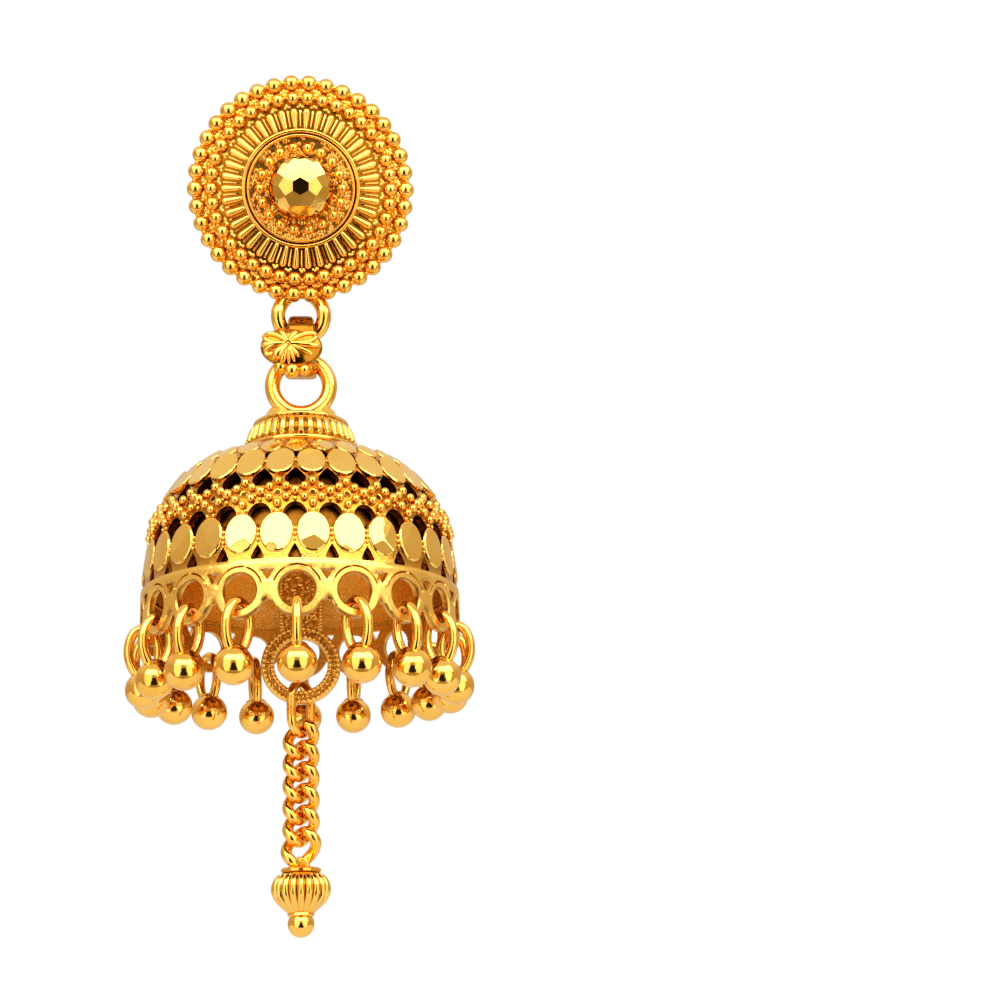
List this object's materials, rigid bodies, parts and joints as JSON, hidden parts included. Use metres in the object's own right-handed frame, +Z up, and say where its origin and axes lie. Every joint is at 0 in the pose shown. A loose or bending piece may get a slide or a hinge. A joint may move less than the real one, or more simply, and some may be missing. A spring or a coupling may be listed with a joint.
{
  "type": "jhumka earring",
  "caption": "Gold-plated jhumka earring: granulated ear stud, carved bail, pierced dome drop with a fluted crown, ball bells on a lobed rim, and a chain tassel.",
  "frame": {"origin": "centre of the stud plate's flat back, where the ear post leaves it and the plate rests on the earlobe", "axes": "+Z up, the way the earring hangs; the front faces -Y; +X to the viewer's right"},
  "size_m": [0.0247, 0.0252, 0.0621],
  "materials": {
    "polished_gold": "mirror-polished yellow gold plating on brass",
    "granulated_gold": "polished gold plating over granules, petals and flat facets, darker in the recesses",
    "textured_gold": "gold plating over a fine scrolled and beaded texture"
  },
  "bodies": {
    "stud": {"stud_plate": "granulated_gold", "post_nut": "polished_gold"},
    "bail": {"bail_link": "polished_gold"},
    "drop": {"crown_cap": "polished_gold", "dome_shell": "granulated_gold", "inner_hanger": "textured_gold", "chain_top_link": "polished_gold", "curb_chain": "polished_gold", "finial": "polished_gold", "bell_01": "polished_gold", "bell_02": "polished_gold", "bell_03": "polished_gold", "bell_04": "polished_gold", "bell_05": "polished_gold", "bell_06": "polished_gold", "bell_07": "polished_gold", "bell_08": "polished_gold", "bell_09": "polished_gold", "bell_10": "polished_gold", "bell_11": "polished_gold", "bell_12": "polished_gold", "bell_13": "polished_gold", "bell_14": "polished_gold", "bell_15": "polished_gold", "bell_16": "polished_gold", "bell_17": "polished_gold", "bell_18": "polished_gold"}
  },
  "joints": [
    {"name": "front_back_swing", "type": "hinge", "parent": "stud", "child": "bail", "pos_m": [0, 0.00322, -0.01059], "axis": [1, 0, 0], "range_deg": [-35, 35]},
    {"name": "side_sway", "type": "hinge", "parent": "bail", "child": "drop", "pos_m": [0, 0.00322, -0.01434], "axis": [0, 1, 0], "range_deg": [-25, 25]}
  ]
}
